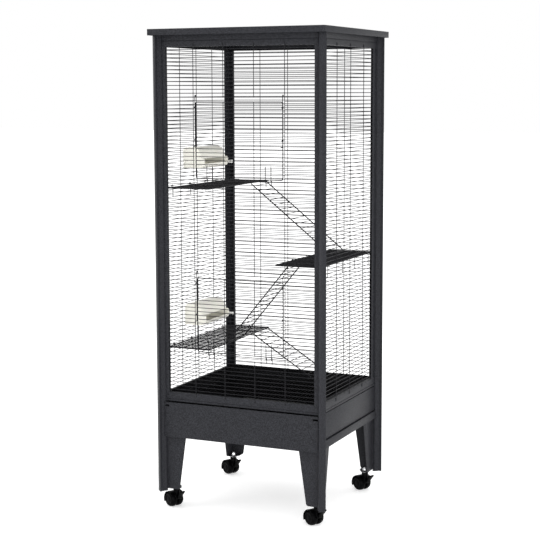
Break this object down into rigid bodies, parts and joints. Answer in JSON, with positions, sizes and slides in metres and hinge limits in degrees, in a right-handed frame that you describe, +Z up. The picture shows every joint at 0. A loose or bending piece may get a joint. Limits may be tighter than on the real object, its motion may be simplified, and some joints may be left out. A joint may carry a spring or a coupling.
{
  "type": "ferret cage",
  "caption": "Tall welded-wire small-animal cage with drop-forward doors, mesh shelves joined by ramps, hooded feeders and a slide-out tray, on hooded casters.",
  "frame": {"origin": "on the floor, under the middle of the plan", "axes": "+Z up; -Y is the front, with the doors and the drawer; +X is to the right of someone facing the front"},
  "size_m": [0.62, 0.584, 1.6],
  "materials": {
    "frame_coat": "fine textured powder coat, dark anthracite",
    "tray_coat": "smooth black coat",
    "cup_plastic": "ivory moulding, soft gloss",
    "bolt_plastic": "white moulding, gloss",
    "zinc_steel": "bright zinc plate",
    "caster_plastic": "black nylon, half gloss"
  },
  "bodies": {
    "frame": {"roof_cover": "frame_coat", "post_front_left": "frame_coat", "post_front_right": "frame_coat", "post_rear_left": "frame_coat", "post_rear_right": "frame_coat", "front_panel": "frame_coat", "left_panel": "frame_coat", "right_panel": "frame_coat", "rear_panel": "frame_coat", "left_apron": "frame_coat", "right_apron": "frame_coat", "rear_apron": "frame_coat", "floor_grate": "frame_coat", "leg_front_left": "frame_coat", "leg_front_right": "frame_coat", "leg_rear_left": "frame_coat", "leg_rear_right": "frame_coat", "upper_shelf": "frame_coat", "middle_shelf": "frame_coat", "lower_shelf": "frame_coat", "upper_feeder": "cup_plastic", "lower_feeder": "cup_plastic", "upper_feeder_bolt": "bolt_plastic", "lower_feeder_bolt": "bolt_plastic", "upper_hinge_wire": "frame_coat", "lower_hinge_wire": "frame_coat", "stem_front_left": "zinc_steel", "stem_front_right": "zinc_steel", "stem_rear_left": "zinc_steel", "stem_rear_right": "zinc_steel"},
    "drawer": {"drawer_front": "frame_coat", "tray_pan": "tray_coat"},
    "upper_door": {"upper_door": "frame_coat", "upper_door_hooks": "frame_coat"},
    "lower_door": {"lower_door": "frame_coat", "lower_door_hooks": "frame_coat"},
    "upper_latch_left": {"upper_latch_left": "frame_coat"},
    "upper_latch_right": {"upper_latch_right": "frame_coat"},
    "lower_latch_left": {"lower_latch_left": "frame_coat"},
    "lower_latch_right": {"lower_latch_right": "frame_coat"},
    "upper_ramp": {"upper_ramp": "frame_coat"},
    "middle_ramp": {"middle_ramp": "frame_coat"},
    "lower_ramp": {"lower_ramp": "frame_coat"},
    "caster_front_left": {"hood_front_left": "caster_plastic"},
    "wheel_front_left_a": {"wheel_front_left_a": "caster_plastic"},
    "wheel_front_left_b": {"wheel_front_left_b": "caster_plastic"},
    "pedal_front_left": {"pedal_front_left": "caster_plastic"},
    "caster_front_right": {"hood_front_right": "caster_plastic"},
    "wheel_front_right_a": {"wheel_front_right_a": "caster_plastic"},
    "wheel_front_right_b": {"wheel_front_right_b": "caster_plastic"},
    "pedal_front_right": {"pedal_front_right": "caster_plastic"},
    "caster_rear_left": {"hood_rear_left": "caster_plastic"},
    "wheel_rear_left_a": {"wheel_rear_left_a": "caster_plastic"},
    "wheel_rear_left_b": {"wheel_rear_left_b": "caster_plastic"},
    "pedal_rear_left": {"pedal_rear_left": "caster_plastic"},
    "caster_rear_right": {"hood_rear_right": "caster_plastic"},
    "wheel_rear_right_a": {"wheel_rear_right_a": "caster_plastic"},
    "wheel_rear_right_b": {"wheel_rear_right_b": "caster_plastic"},
    "pedal_rear_right": {"pedal_rear_right": "caster_plastic"}
  },
  "joints": [
    {"name": "drawer_slide", "type": "slide", "parent": "frame", "child": "drawer", "axis": [0, -1, 0], "range_m": [0, 0.4]},
    {"name": "upper_door_hinge", "type": "hinge", "parent": "frame", "child": "upper_door", "pos_m": [0, -0.2545, 1.115], "axis": [1, 0, 0], "range_deg": [0, 135]},
    {"name": "upper_latch_left_slide", "type": "slide", "parent": "upper_door", "child": "upper_latch_left", "axis": [0, 0, 1], "range_m": [-0.0036, 0]},
    {"name": "upper_latch_right_slide", "type": "slide", "parent": "upper_door", "child": "upper_latch_right", "axis": [0, 0, 1], "range_m": [-0.0036, 0]},
    {"name": "lower_door_hinge", "type": "hinge", "parent": "frame", "child": "lower_door", "pos_m": [0, -0.2545, 0.5435], "axis": [1, 0, 0], "range_deg": [0, 135]},
    {"name": "lower_latch_left_slide", "type": "slide", "parent": "lower_door", "child": "lower_latch_left", "axis": [0, 0, 1], "range_m": [-0.0036, 0]},
    {"name": "lower_latch_right_slide", "type": "slide", "parent": "lower_door", "child": "lower_latch_right", "axis": [0, 0, 1], "range_m": [-0.0036, 0]},
    {"name": "upper_ramp_hook", "type": "hinge", "parent": "frame", "child": "upper_ramp", "pos_m": [-0.118, 0.146, 1.085], "axis": [0, -1, 0], "range_deg": [0, 25]},
    {"name": "middle_ramp_hook", "type": "hinge", "parent": "frame", "child": "middle_ramp", "pos_m": [0.118, -0.03175, 0.847], "axis": [0, 1, 0], "range_deg": [0, 15]},
    {"name": "lower_ramp_hook", "type": "hinge", "parent": "frame", "child": "lower_ramp", "pos_m": [-0.118, 0.15875, 0.555], "axis": [0, -1, 0], "range_deg": [0, 25]},
    {"name": "caster_front_left_swivel", "type": "hinge", "parent": "frame", "child": "caster_front_left", "pos_m": [-0.258, -0.22, 0.06], "axis": [0, 0, 1], "continuous": true},
    {"name": "wheel_front_left_a_spin", "type": "hinge", "parent": "caster_front_left", "child": "wheel_front_left_a", "pos_m": [-0.27202, -0.21229, 0.025], "axis": [-0.4818, -0.8763, 0], "continuous": true},
    {"name": "wheel_front_left_b_spin", "type": "hinge", "parent": "caster_front_left", "child": "wheel_front_left_b", "pos_m": [-0.27202, -0.21229, 0.025], "axis": [-0.4818, -0.8763, 0], "continuous": true},
    {"name": "pedal_front_left_pin", "type": "hinge", "parent": "caster_front_left", "child": "pedal_front_left", "pos_m": [-0.24578, -0.22672, 0.03302], "axis": [0.4818, 0.8763, 0], "range_deg": [0, 12]},
    {"name": "caster_front_right_swivel", "type": "hinge", "parent": "frame", "child": "caster_front_right", "pos_m": [0.258, -0.22, 0.06], "axis": [0, 0, 1], "continuous": true},
    {"name": "wheel_front_right_a_spin", "type": "hinge", "parent": "caster_front_right", "child": "wheel_front_right_a", "pos_m": [0.24398, -0.21229, 0.025], "axis": [-0.4818, -0.8763, 0], "continuous": true},
    {"name": "wheel_front_right_b_spin", "type": "hinge", "parent": "caster_front_right", "child": "wheel_front_right_b", "pos_m": [0.24398, -0.21229, 0.025], "axis": [-0.4818, -0.8763, 0], "continuous": true},
    {"name": "pedal_front_right_pin", "type": "hinge", "parent": "caster_front_right", "child": "pedal_front_right", "pos_m": [0.27022, -0.22672, 0.03302], "axis": [0.4818, 0.8763, 0], "range_deg": [0, 12]},
    {"name": "caster_rear_left_swivel", "type": "hinge", "parent": "frame", "child": "caster_rear_left", "pos_m": [-0.258, 0.22, 0.06], "axis": [0, 0, 1], "continuous": true},
    {"name": "wheel_rear_left_a_spin", "type": "hinge", "parent": "caster_rear_left", "child": "wheel_rear_left_a", "pos_m": [-0.27202, 0.22771, 0.025], "axis": [-0.4818, -0.8763, 0], "continuous": true},
    {"name": "wheel_rear_left_b_spin", "type": "hinge", "parent": "caster_rear_left", "child": "wheel_rear_left_b", "pos_m": [-0.27202, 0.22771, 0.025], "axis": [-0.4818, -0.8763, 0], "continuous": true},
    {"name": "pedal_rear_left_pin", "type": "hinge", "parent": "caster_rear_left", "child": "pedal_rear_left", "pos_m": [-0.24578, 0.21328, 0.03302], "axis": [0.4818, 0.8763, 0], "range_deg": [0, 12]},
    {"name": "caster_rear_right_swivel", "type": "hinge", "parent": "frame", "child": "caster_rear_right", "pos_m": [0.258, 0.22, 0.06], "axis": [0, 0, 1], "continuous": true},
    {"name": "wheel_rear_right_a_spin", "type": "hinge", "parent": "caster_rear_right", "child": "wheel_rear_right_a", "pos_m": [0.24398, 0.22771, 0.025], "axis": [-0.4818, -0.8763, 0], "continuous": true},
    {"name": "wheel_rear_right_b_spin", "type": "hinge", "parent": "caster_rear_right", "child": "wheel_rear_right_b", "pos_m": [0.24398, 0.22771, 0.025], "axis": [-0.4818, -0.8763, 0], "continuous": true},
    {"name": "pedal_rear_right_pin", "type": "hinge", "parent": "caster_rear_right", "child": "pedal_rear_right", "pos_m": [0.27022, 0.21328, 0.03302], "axis": [0.4818, 0.8763, 0], "range_deg": [0, 12]}
  ]
}
